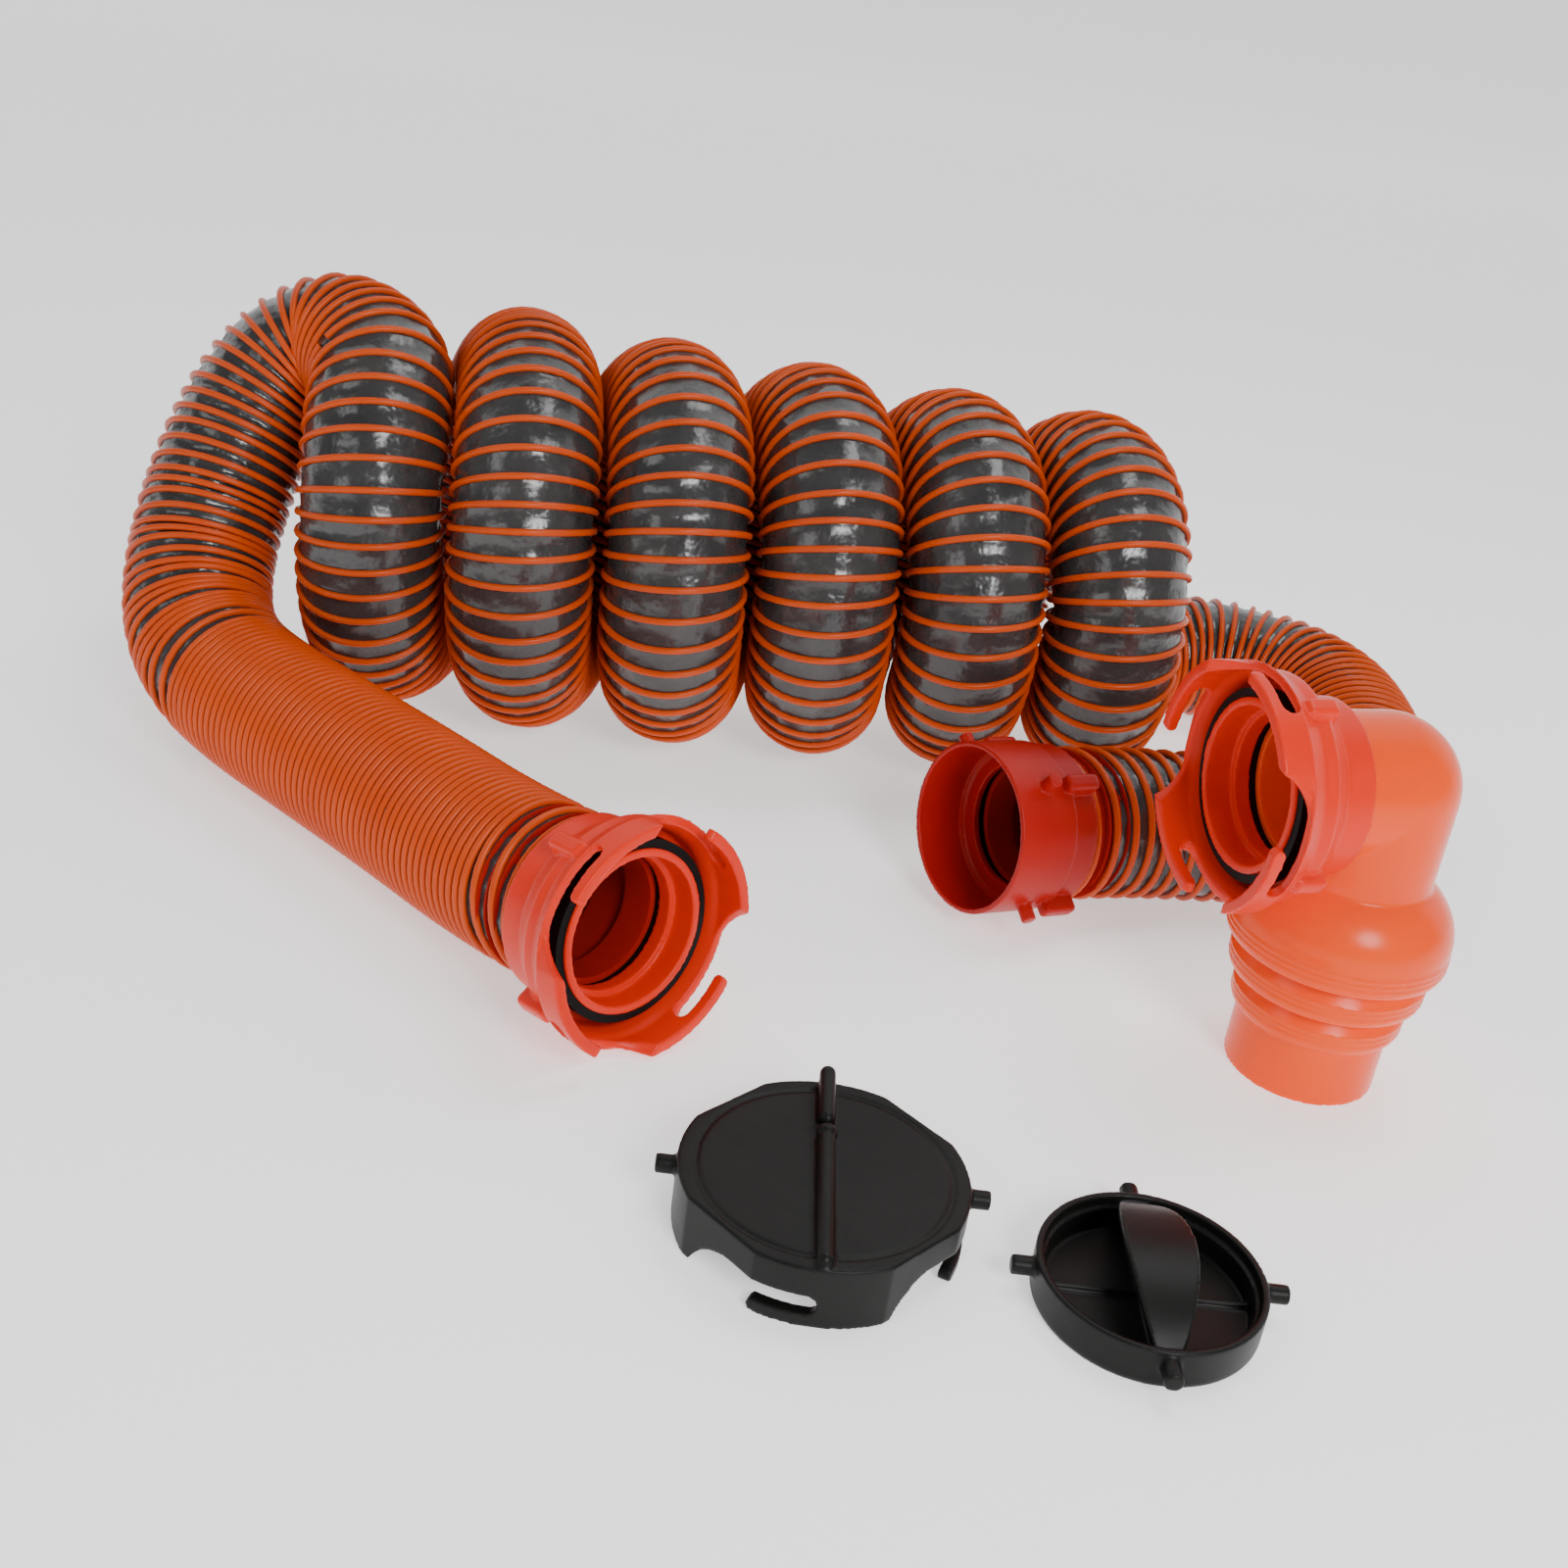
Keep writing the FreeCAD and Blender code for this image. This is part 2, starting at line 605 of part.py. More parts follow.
def block(name, length, width, height, x, y, z):
    box = doc.addObject("Part::Box", name)
    bind(box, "Length", length)
    bind(box, "Width", width)
    bind(box, "Height", height)
    bind(box, "Placement.Base.x", x)
    bind(box, "Placement.Base.y", y)
    bind(box, "Placement.Base.z", z)
    return box


def ridge_bar(name, near, near_rise, far, far_rise):
    """A round-topped bar along Y on the cap's top, rising from one end to the other."""
    top = "cap_height"
    rod = doc.addObject("Part::Cylinder", f"{name}_rod")
    run = f"(({far}) - ({near}))"
    climb = f"(({far_rise}) - ({near_rise}))"
    bind(rod, "Radius", "cap_handle_radius")
    bind(rod, "Height", f"sqrt({run} * {run} + {climb} * {climb})")
    rod.Placement.Rotation = FreeCAD.Rotation(V(-1, 0, 0), 80)
    bind(rod, "Placement.Rotation.Angle", f"atan2({run}; {climb})")
    bind(rod, "Placement.Base.y", near)
    bind(rod, "Placement.Base.z", f"{top} + ({near_rise})")
    ends = []
    for label, (along, rise) in (("near", (near, near_rise)), ("far", (far, far_rise))):
        ball = doc.addObject("Part::Sphere", f"{name}_{label}_end")
        bind(ball, "Radius", "cap_handle_radius")
        bind(ball, "Placement.Base.y", along)
        bind(ball, "Placement.Base.z", f"{top} + ({rise})")
        ends.append(ball)
    foot = block(f"{name}_foot", "2 * cap_handle_radius", run, f"{near_rise} + {OVER}",
                 "-cap_handle_radius", near, f"{top} - {OVER}")
    return [rod, foot] + ends


def bayonet_cap(name, base):
    """Modelled standing on its hooks: z = 0 at the hook tips, the flat top at cap_height."""
    crown = hook_crown(f"{name}_crown", size["cap_outer"], size["cap_flat"], size["cap_hook_inner"])
    crown.Placement.Rotation = FreeCAD.Rotation(V(0, 0, 1), -SLOT_END_ANGLE).multiply(
        FreeCAD.Rotation(V(1, 0, 0), 180))
    bind(crown, "Placement.Base.z", "crown_height")
    skirt = doc.addObject("PartDesign::Body", f"{name}_skirt")
    outline = add_sketch(skirt, f"{name}_outline", "XY_Plane")
    outline.addGeometry(flatted_circle(size["cap_outer"], size["cap_flat"], 45))
    pad = skirt.newObject("PartDesign::Pad", f"{name}_pad")
    pad.Profile = outline
    bind(pad, "Length", "cap_height - crown_height")
    bind(skirt, "Placement.Base.z", "crown_height")
    cavity = turned(f"{name}_cavity", [
        ("mouth_wall_inner", "mouth_wall_inner", f"crown_height - {OVER}", "cap_height - cap_top")])
    recess = cut(f"{name}_recess",
                 turned(f"{name}_recess_outer", [("cap_recess_outer", "cap_recess_outer",
                                                  "cap_height - cap_recess_depth",
                                                  f"cap_height + {OVER}")]),
                 turned(f"{name}_recess_inner", [("cap_recess_inner", "cap_recess_inner",
                                                  f"cap_height - cap_recess_depth - {OVER}",
                                                  f"cap_height + {2 * OVER}")]))
    pins = [radial_cylinder(f"{name}_pin_{number}", "lug_radius", "cap_pin_reach",
                            "cap_height - cap_pin_depth", 180 * number, "cap_recess_outer")
            for number in range(2)]
    handle = []
    for label, (near, near_rise, far, far_rise) in (
            ("front", ("-cap_handle_reach", "cap_handle_front_rise", "cap_eye_start",
                       "cap_handle_rise")),
            ("back", ("cap_eye_end", "cap_handle_rise", "cap_handle_reach",
                      "cap_handle_back_rise"))):
        handle += ridge_bar(f"{name}_{label}", near, near_rise, far, far_rise)
    collar = doc.addObject("Part::Cylinder", f"{name}_collar")
    bind(collar, "Radius", "cap_collar_radius")
    bind(collar, "Height", "cap_collar_length")
    collar.Placement.Rotation = FreeCAD.Rotation(V(1, 0, 0), 90)
    bind(collar, "Placement.Base.y", "cap_eye_start")
    bind(collar, "Placement.Base.z", "cap_height + cap_handle_rise")
    handle.append(collar)
    body = cut(f"{name}_body", fused(f"{name}_solid", [crown, skirt] + pins),
               fused(f"{name}_tools", [cavity, recess]))
    keep(name, fused(f"{name}_whole", [body] + handle),
         FreeCAD.Placement(base, CAP_TURN))

    seal_top = "cap_height - cap_top"
    seal = cut(f"{name}_seal_ring",
               turned(f"{name}_seal_outer", [("cap_seal_outer", "cap_seal_outer",
                                              f"{seal_top} - cap_seal_thickness", seal_top)]),
               turned(f"{name}_seal_inner", [("cap_seal_inner", "cap_seal_inner",
                                              f"{seal_top} - cap_seal_thickness - {OVER}",
                                              "cap_height")]))
    keep("cap_bayonet_gasket", seal, FreeCAD.Placement(base, CAP_TURN))


def side_plate(name, edges, width):
    """A plate of a side outline in the YZ plane, centred on x = 0."""
    body = doc.addObject("PartDesign::Body", name)
    side = add_sketch(body, f"{name}_side", "YZ_Plane")
    side.addGeometry(edges)
    pad = body.newObject("PartDesign::Pad", f"{name}_pad")
    pad.Profile = side
    bind(pad, "Length", width)
    pad.Midplane = True
    return body


def paddle_plan(name):
    """The paddle's outline from above: narrow at both ends and widest in the middle."""
    body = doc.addObject("PartDesign::Body", name)
    plan = add_sketch(body, f"{name}_plan", "XY_Plane")
    half_width, half_end = size["paddle_width"] / 2, size["paddle_end_width"] / 2
    reach = size["paddle_reach"] + OVER
    corners = [V(half_end, -reach, 0), V(half_end, reach, 0),
               V(-half_end, reach, 0), V(-half_end, -reach, 0)]
    plan.addGeometry([
        Part.Arc(corners[0], V(half_width, 0, 0), corners[1]),
        Part.LineSegment(corners[1], corners[2]),
        Part.Arc(corners[2], V(-half_width, 0, 0), corners[3]),
        Part.LineSegment(corners[3], corners[0])])
    pad = body.newObject("PartDesign::Pad", f"{name}_pad")
    pad.Profile = plan
    bind(pad, "Length", f"paddle_crown + {OVER}")
    return body


def lug_cap(name, base):
    """A shallow dish with four lugs and an arched paddle handle on a web across it."""
    dish = cut(f"{name}_dish",
               turned(f"{name}_outer", [
                   ("dish_foot_radius", "rim_outer", "0", "dish_foot_height"),
                   ("rim_outer", "rim_outer", "dish_foot_height", "dish_height")]),
               turned(f"{name}_inner", [
                   ("dish_inner", "dish_inner", "dish_floor", f"dish_height + {OVER}"),
                   ("rim_inner", "rim_inner", "dish_height - dish_step_depth",
                    f"dish_height + {OVER}")]))
    lugs = [radial_cylinder(f"{name}_lug_{number}", "lug_radius", "lug_tip",
                            "dish_lug_height", 360 / LUGS * number, f"rim_inner + {OVER}")
            for number in range(LUGS)]
    rib = block(f"{name}_rib", "2 * paddle_reach", "rib_width", "rib_height",
                "-paddle_reach", "-rib_width / 2", f"dish_floor - {OVER}")
    reach = size["paddle_reach"]
    foot = size["paddle_foot"]
    root = size["dish_floor"] - OVER
    crown, thick = size["paddle_crown"], size["paddle_thickness"]
    arch = side_plate(f"{name}_arch", [
        Part.Arc(V(-reach, foot, 0), V(0, crown, 0), V(reach, foot, 0)),
        Part.LineSegment(V(reach, foot, 0), V(reach, foot - thick, 0)),
        Part.Arc(V(reach, foot - thick, 0), V(0, crown - thick, 0), V(-reach, foot - thick, 0)),
        Part.LineSegment(V(-reach, foot - thick, 0), V(-reach, foot, 0))], f"paddle_width + {OVER}")
    web = side_plate(f"{name}_web", [
        Part.Arc(V(-reach, foot - OVER, 0), V(0, crown - OVER, 0), V(reach, foot - OVER, 0)),
        Part.LineSegment(V(reach, foot - OVER, 0), V(reach, root, 0)),
        Part.LineSegment(V(reach, root, 0), V(-reach, root, 0)),
        Part.LineSegment(V(-reach, root, 0), V(-reach, foot - OVER, 0))],
        "web_thickness")
    paddle = doc.addObject("Part::MultiCommon", f"{name}_paddle")
    paddle.Shapes = [arch, paddle_plan(f"{name}_outline")]
    keep(name, fused(f"{name}_solid", [dish, rib, paddle, web] + lugs),
         FreeCAD.Placement(base, CAP_TURN))


bayonet_cap("cap_bayonet", cap_bayonet_base)
lug_cap("cap_lug", cap_lug_base)


# ---------------------------------------------------------------- hose
def cord_path(points):
    """Straight runs joined by tangent arcs, each as large as its two runs allow."""
    edges = []
    radii = []
    start = points[0]
    for before, corner, after in zip(points, points[1:], points[2:]):
        arriving = corner - before
        leaving = after - corner
        turn = arriving.getAngle(leaving)
        setback = 0.45 * min(arriving.Length, leaving.Length)
        radii.append(setback / math.tan(turn / 2))
        arc_in = corner - arriving.normalize() * setback
        arc_out = corner + leaving.normalize() * setback
        inward = (leaving - arriving).normalize()
        middle = corner + inward * (radii[-1] / math.cos(turn / 2) - radii[-1])
        edges.append(Part.LineSegment(start, arc_in).toShape())
        edges.append(Part.Arc(arc_in, middle, arc_out).toShape())
        start = arc_out
    edges.append(Part.LineSegment(start, points[-1]).toShape())
    return Part.Wire(edges), radii


def hose_run(name, points):
    """A thin-walled tube along a route; its volume is compared with section times length."""
    path, radii = cord_path(points)
    radius, wall = size["hose_radius"], size["hose_wall"]
    along = points[1] - points[0]
    solids = []
    for section in (radius, radius - wall):
        ring = Part.Wire([Part.Circle(points[0], along, section).toShape()])
        solids.append(path.makePipeShell([ring], True, False))
    tube = solids[0].cut(solids[1])
    expected = math.pi * (radius ** 2 - (radius - wall) ** 2) * path.Length
    print(f"{name}: length {path.Length:.1f}, radii {[round(r) for r in radii]}, "
          f"volume ratio {tube.Volume / expected:.4f}, solids {len(tube.Solids)}")
    feature = doc.addObject("Part::Feature", name)
    feature.Shape = tube.Solids[0]
    feature.Placement = FreeCAD.Placement()
    keep(name, feature)


TURNS = 6
BOW = [28, 1, -9, -2, -2, 7]  # how far each turn lies across the coil from its axis
coil_start = spot(-287, 1023, 0)
coil_axis = heading(size["coil_heading"])
coil_across = heading(size["coil_heading"] + 90)


def hose_coil(name):
    """Six thin-walled rings, one per turn, joined low down by a tie: one closed solid."""
    shells = []
    for label, tube in (("outer", "hose_radius"), ("inner", "hose_radius - hose_wall")):
        rings = []
        for number in range(TURNS):
            ring = doc.addObject("Part::Torus", f"{name}_{label}_{number}")
            share = f"{number / (TURNS - 1)}"
            radius = f"(turn_radius_first + {share} * (turn_radius_last - turn_radius_first))"
            bind(ring, "Radius1", radius)
            bind(ring, "Radius2", tube)
            middle = coil_start + coil_axis * (size["coil_pitch"] * (number + 0.25))
            lean = FreeCAD.Rotation(coil_across, size["coil_lean"])
            ring.Placement = FreeCAD.Placement(
                middle + coil_across * BOW[number],
                lean.multiply(FreeCAD.Rotation(V(0, 0, 1), coil_axis)))
            bind(ring, "Placement.Base.z", f"{radius} + hose_radius")
            rings.append(ring)
        shells.append(rings)
    tie = doc.addObject("Part::Cylinder", f"{name}_tie")
    bind(tie, "Radius", "coil_tie_radius")
    bind(tie, "Height", f"{TURNS - 1} * coil_pitch")
    tie.Placement = FreeCAD.Placement(coil_start + coil_axis * (size["coil_pitch"] * 0.25),
                                      FreeCAD.Rotation(V(0, 0, 1), coil_axis))
    bind(tie, "Placement.Base.z", "hose_radius")
    cavities = doc.addObject("Part::Compound", f"{name}_cavities")
    cavities.Links = shells[1]
    keep(name, cut(f"{name}_hollow", fused(f"{name}_rings", shells[0] + [tie]), cavities))


hose_coil("hose_coil")
bayonet_end = bayonet_seat.along(-(size["ring_back"] + size["hose_gap"]))
hose_run("hose_front_run", [
    spot(-268, 1046, 219), spot(-300, 1054, 218), spot(-328, 1053, 204), spot(-347, 1039, 181),
    spot(-359, 1018, 149), spot(-365, 995, 116), spot(-365, 971, 86), spot(-356, 946, 63),
    spot(-335, 921, 49), spot(-300, 891, 44), spot(-254, 854, 43.4), spot(-191, 801, 43.8),
    bayonet_end - bayonet_seat.direction * 58, bayonet_end])
lug_end = lug_seat.along(-(size["ring_back"] + size["hose_gap"]))
hose_run("hose_back_run", [
    spot(190, 1074, 43.2), spot(203, 1135, 43.4), spot(236, 1175, 43.2), spot(288, 1190, 43.4),
    spot(338, 1172, 43.2), spot(367, 1128, 43.4), spot(368, 1058, 43.2), spot(356, 985, 43.4),
    spot(322, 926, 43.2), spot(262, 905, 43.6), lug_end - lug_seat.direction * 48, lug_end])

# ---------------------------------------------------------------- checks and export
doc.recompute()
for item in doc.Objects:
    if "Invalid" in item.State or "Error" in item.State:
        raise RuntimeError(f"{item.Name} failed: {item.State}")
os.makedirs("parts", exist_ok=True)
for name, obj in parts.items():
    shape = obj.Shape
    if shape.isNull() or not shape.isValid() or len(shape.Solids) != 1:
        raise RuntimeError(f"{name}: null, invalid or {len(shape.Solids)} solids")
    box = shape.BoundBox
    print(f"{name}: volume {shape.Volume / 1000:.1f} cm3, x {box.XMin:.1f}..{box.XMax:.1f}, "
          f"y {box.YMin:.1f}..{box.YMax:.1f}, z {box.ZMin:.2f}..{box.ZMax:.1f}")
    shape.exportStep(f"parts/{name}.step")
for label, seat in (("bayonet", bayonet_seat), ("lug", lug_seat), ("elbow", elbow_seat)):
    print(label, "shoulder", [round(c, 3) for c in seat.origin],
          "direction", [round(c, 6) for c in seat.direction])
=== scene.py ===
"""The looks of the sewer hose kit, in metres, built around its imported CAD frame."""
import json
import math
import random

import bpy
import numpy as np
from mathutils import Matrix, Vector, noise


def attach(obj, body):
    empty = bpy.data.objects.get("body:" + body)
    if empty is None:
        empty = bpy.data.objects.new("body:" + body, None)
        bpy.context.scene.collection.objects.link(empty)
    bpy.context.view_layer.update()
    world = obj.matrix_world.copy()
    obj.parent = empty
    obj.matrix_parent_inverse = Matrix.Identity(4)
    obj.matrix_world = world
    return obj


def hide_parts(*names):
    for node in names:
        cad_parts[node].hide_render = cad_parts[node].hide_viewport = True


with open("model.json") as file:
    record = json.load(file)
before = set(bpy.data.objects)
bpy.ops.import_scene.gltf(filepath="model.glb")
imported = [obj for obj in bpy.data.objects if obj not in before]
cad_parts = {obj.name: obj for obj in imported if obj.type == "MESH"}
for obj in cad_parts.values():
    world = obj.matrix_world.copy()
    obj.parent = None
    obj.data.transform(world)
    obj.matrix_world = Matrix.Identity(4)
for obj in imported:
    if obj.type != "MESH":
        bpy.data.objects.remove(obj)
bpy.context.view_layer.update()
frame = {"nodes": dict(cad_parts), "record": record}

nodes = frame["nodes"]
collection = bpy.context.scene.collection

# ---------------------------------------------------------------- camera
# The layout's own frame has the camera above x = y = 0; the part's origin lies at ORIGIN in it.
ORIGIN = (0.09478, 0.70092)
CAMERA_HEIGHT = 0.4714
CAMERA_PITCH = math.radians(25.85)
CAMERA_ROLL = math.radians(7.85)
CAMERA_LENS_MM = 39.92
CAMERA_SENSOR_MM = 36.0


def spot(x, y, z):
    """A point of the layout, in the part's frame."""
    return Vector((x - ORIGIN[0], y - ORIGIN[1], z))


def make_camera():
    right = Vector((1, 0, 0))
    up = Vector((0, math.sin(CAMERA_PITCH), math.cos(CAMERA_PITCH)))
    back = Vector((0, -math.cos(CAMERA_PITCH), math.sin(CAMERA_PITCH)))
    across = right * math.cos(CAMERA_ROLL) + up * math.sin(CAMERA_ROLL)
    above = up * math.cos(CAMERA_ROLL) - right * math.sin(CAMERA_ROLL)
    data = bpy.data.cameras.new("camera")
    data.lens = CAMERA_LENS_MM
    data.sensor_width = CAMERA_SENSOR_MM
    data.clip_start = 0.01
    camera = bpy.data.objects.new("camera", data)
    collection.objects.link(camera)
    turn = Matrix((across, above, back)).transposed().to_4x4()
    camera.matrix_world = Matrix.Translation(spot(0, 0, CAMERA_HEIGHT)) @ turn
    bpy.context.scene.camera = camera


make_camera()

# ---------------------------------------------------------------- the hose's route
HOSE_DIAMETER = 0.086
HOSE_RADIUS = HOSE_DIAMETER / 2

# from the bayonet fitting along the floor, up the leg and over into the first turn
FRONT_ROUTE = [
    spot(-0.0877, 0.7059, 0.0527), spot(-0.1304, 0.7444, 0.0456), spot(-0.191, 0.801, 0.0438),
    spot(-0.254, 0.854, 0.0434), spot(-0.300, 0.891, 0.044), spot(-0.335, 0.921, 0.049),
    spot(-0.356, 0.946, 0.063), spot(-0.365, 0.971, 0.086), spot(-0.365, 0.995, 0.116),
    spot(-0.359, 1.018, 0.149), spot(-0.347, 1.039, 0.181), spot(-0.328, 1.053, 0.204),
    spot(-0.300, 1.054, 0.218)]

# from the last turn round behind the elbow to the lug fitting
BACK_ROUTE = [
    spot(0.190, 1.074, 0.0432), spot(0.203, 1.135, 0.0434), spot(0.236, 1.175, 0.0432),
    spot(0.288, 1.190, 0.0434), spot(0.338, 1.172, 0.0432), spot(0.367, 1.128, 0.0434),
    spot(0.368, 1.058, 0.0432), spot(0.356, 0.985, 0.0434), spot(0.322, 0.926, 0.0432),
    spot(0.262, 0.905, 0.0436), spot(0.18508, 0.88893, 0.0459), spot(0.14504, 0.86293, 0.05092)]

COIL_START = spot(-0.287, 1.023, 0)
COIL_HEADING = math.radians(5.24)
COIL_PITCH = 0.0893
COIL_TURNS = 5.5
COIL_RADII = (0.0871, 0.0726)  # first turn, sixth turn
COIL_TURNS_BETWEEN = 5         # from the first turn to the sixth
COIL_TILT = 0.164              # how far a turn's top leans along the coil, per metre of height
COIL_BOW = (0.028, 0.001, -0.009, -0.002, -0.002, 0.007, 0.007)  # each turn's shift across
COIL_POINTS_PER_TURN = 16
COIL_FIRST_POINT = 1


def coil_route():
    """The loose turns, which stand on the floor and shrink from the first to the last."""
    along = Vector((math.cos(COIL_HEADING), math.sin(COIL_HEADING), 0))
    across = Vector((-along.y, along.x, 0))
    points = []
    for number in range(COIL_FIRST_POINT, int(COIL_TURNS * COIL_POINTS_PER_TURN)):
        turns = number / COIL_POINTS_PER_TURN
        angle = math.tau * turns
        radius = COIL_RADII[0] + (COIL_RADII[1] - COIL_RADII[0]) * turns / COIL_TURNS_BETWEEN
        reach = radius / math.cos(math.pi / COIL_POINTS_PER_TURN)  # the spline cuts inside
        whole = int(turns)
        bow = COIL_BOW[whole] + (COIL_BOW[whole + 1] - COIL_BOW[whole]) * (turns - whole)
        centre = COIL_START + along * (COIL_PITCH * turns) + across * bow
        centre.z = radius + HOSE_RADIUS
        upright = Vector((0, 0, 1)) + along * COIL_TILT
        points.append(centre + (upright * math.cos(angle) - across * math.sin(angle)) * reach)
    return points


def spline_line(points):
    """The line of a clamped NURBS spline with these control points, as Blender draws it."""
    curve = bpy.data.curves.new("route", "CURVE")
    curve.dimensions = "3D"
    curve.resolution_u = 16
    spline = curve.splines.new("NURBS")
    spline.points.add(len(points) - 1)
    for target, point in zip(spline.points, points):
        target.co = (*point, 1)
    spline.order_u = 3
    spline.use_endpoint_u = True
    holder = bpy.data.objects.new("route", curve)
    mesh = bpy.data.meshes.new_from_object(holder)
    line = np.array([vertex.co for vertex in mesh.vertices])
    bpy.data.objects.remove(holder)
    bpy.data.curves.remove(curve)
    bpy.data.meshes.remove(mesh)
    return line


class Line:
    """A smooth line with a frame that turns with it as little as it can."""

    STEP = 0.002
    SAME_POINT = 1e-7

    def __init__(self, points):
        raw = spline_line(points)
        gaps = np.linalg.norm(np.diff(raw, axis=0), axis=1)
        raw = raw[np.concatenate([[True], gaps > self.SAME_POINT])]
        reach = np.concatenate([[0], np.cumsum(np.linalg.norm(np.diff(raw, axis=0), axis=1))])
        count = int(reach[-1] / self.STEP) + 1
        self.length = reach[-1]
        self.reach = np.linspace(0, self.length, count)
        self.points = np.stack([np.interp(self.reach, reach, raw[:, i]) for i in range(3)], 1)
        tangents = np.gradient(self.points, axis=0)
        self.tangents = tangents / np.linalg.norm(tangents, axis=1)[:, None]
        normals = [np.cross(self.tangents[0], (0, 0, 1))]
        normals[0] /= np.linalg.norm(normals[0])
        for tangent in self.tangents[1:]:
            normal = normals[-1] - tangent * (normals[-1] @ tangent)
            normals.append(normal / np.linalg.norm(normal))
        self.normals = np.array(normals)
        self.sides = np.cross(self.tangents, self.normals)

    def at(self, distance):
        """Points, normals and sides at these distances along the line."""
        return [np.stack([np.interp(distance, self.reach, track[:, i]) for i in range(3)], -1)
                for track in (self.points, self.normals, self.sides)]

    def around(self, distance, angle, radius):
        points, normals, sides = self.at(distance)
        return (points + (normals * np.cos(angle)[..., None] + sides * np.sin(angle)[..., None])
                * np.asarray(radius)[..., None])


route = FRONT_ROUTE + coil_route() + BACK_ROUTE
hose_line = Line(route)
print(f"hose length {hose_line.length:.3f} m")

# ---------------------------------------------------------------- the hose's ribs
SEGMENTS = 40          # round one turn of the wire
WIRE_RADIUS = 0.002
WIRE_SIDES = 8
WALL_ROWS = 6          # across one band of wall
CLOSED_PITCH = 0.0054
COIL_RIB_PITCH = 0.0114
GAP = 0.0065           # what one pulled-open rib adds to the closed pitch
WIDE_GAP = 0.0085
FRONT_LENGTH = Line(FRONT_ROUTE + coil_route()[:1]).length
BACK_LENGTH = Line(coil_route()[-1:] + BACK_ROUTE).length
SHIFT_WIDTH = 0.3      # the share of a turn in which a pulled-open rib steps along
FRONT_SHIFT = 0.5      # where round the tube it does: out of sight below
SEED = 7
OPEN_PITCH = 0.006     # ribs further apart than this vary more in pitch
OPEN_SPREAD = 0.12
CLOSED_SPREAD = 0.02
SOFTEN_REACH = 4       # points of the wire on each side that a rib's step is spread over

# how the hose is stretched: up to this distance from the bayonet end, the rib's pitch, and the
# open gap added to it
FRONT_STRETCH = [
    (0.004, CLOSED_PITCH, 0.0), (0.026, CLOSED_PITCH, WIDE_GAP), (0.312, CLOSED_PITCH, 0.0),
    (0.334, CLOSED_PITCH, GAP), (0.352, CLOSED_PITCH, 0.0), (0.360, CLOSED_PITCH, 0.005),
    (0.370, CLOSED_PITCH, 0.0), (0.380, CLOSED_PITCH, 0.005), (0.388, CLOSED_PITCH, 0.0),
    (0.402, CLOSED_PITCH, 0.004), (0.416, 0.0056, 0.0), (0.432, 0.0058, 0.004),
    (0.452, 0.0056, 0.001), (0.475, 0.0060, 0.004), (FRONT_LENGTH, 0.0095, 0.0)]
# the same for the back run, by the distance that is left to the lug end
BACK_STRETCH = [(0.018, 0.0112, 0.004), (0.14, 0.0112, 0.0), (0.30, 0.0118, 0.0),
                (BACK_LENGTH, 0.0110, 0.0)]


def stretch_at(distance):
    """The even pitch and the extra gap of the rib that starts at this distance."""
    for end, pitch, gap in FRONT_STRETCH:
        if distance < end:
            return pitch, gap
    for end, pitch, gap in BACK_STRETCH:
        if hose_line.length - distance < end:
            return pitch, gap
    return COIL_RIB_PITCH, 0.0


def rib_distances():
    """How far along the hose the wire is, for each step round it."""
    dice = random.Random(SEED)
    share = (np.arange(SEGMENTS) + 1) / SEGMENTS
    shift = np.clip((share - FRONT_SHIFT) / SHIFT_WIDTH + 0.5, 0, 1)
    shift = shift * shift * (3 - 2 * shift)
    distances = [0.0]
    while distances[-1] < hose_line.length:
        pitch, gap = stretch_at(distances[-1])
        spread = OPEN_SPREAD if pitch > OPEN_PITCH else CLOSED_SPREAD
        pitch *= 1 + spread * (dice.random() * 2 - 1)
        start = distances[-1]
        distances.extend(start + pitch * share + gap * shift)
    distances = np.array(distances)
    # an even mean over the points on both sides softens the steps from one rib's pitch to the next
    window = 2 * SOFTEN_REACH + 1
    padded = np.concatenate([np.full(SOFTEN_REACH, distances[0]), distances,
                             np.full(SOFTEN_REACH, distances[-1])])
    smooth = np.convolve(padded, np.ones(window) / window, mode="valid")
    return smooth * (hose_line.length / smooth[-1])


wire_distance = rib_distances()
print(f"hose ribs {len(wire_distance) / SEGMENTS:.0f}")


def make_mesh(name, vertices, faces):
    mesh = bpy.data.meshes.new(name)
    mesh.vertices.add(len(vertices))
    mesh.vertices.foreach_set("co", np.asarray(vertices, float).ravel())
    faces = np.asarray(faces)
    mesh.loops.add(faces.size)
    mesh.loops.foreach_set("vertex_index", faces.ravel())
    mesh.polygons.add(len(faces))
    mesh.polygons.foreach_set("loop_start", np.arange(0, faces.size, faces.shape[1]))
    mesh.update(calc_edges=True)
    mesh.validate()
    mesh.shade_smooth()
    piece = bpy.data.objects.new(name, mesh)
    collection.objects.link(piece)
    return piece


SLACK_WIDTH = 0.014    # a gap between two wires that would take up all the slack
LEAST_SLACK = 0.5
WALL_DEPTH = 0.0026    # the wall's depth under the wire's outside, at the wire
HOLLOW_DEPTH = 0.0004  # how far a tight band sinks between two ribs
SLACK_DEPTH = 0.0014   # what its slack adds
PUCKER_DEPTH = 0.0044  # what its puckers add or take away
PUCKERS_ROUND = 7      # the puckers' noise: its radius round the hose
PUCKERS_ALONG = 5.3    # and its step per turn of the wire


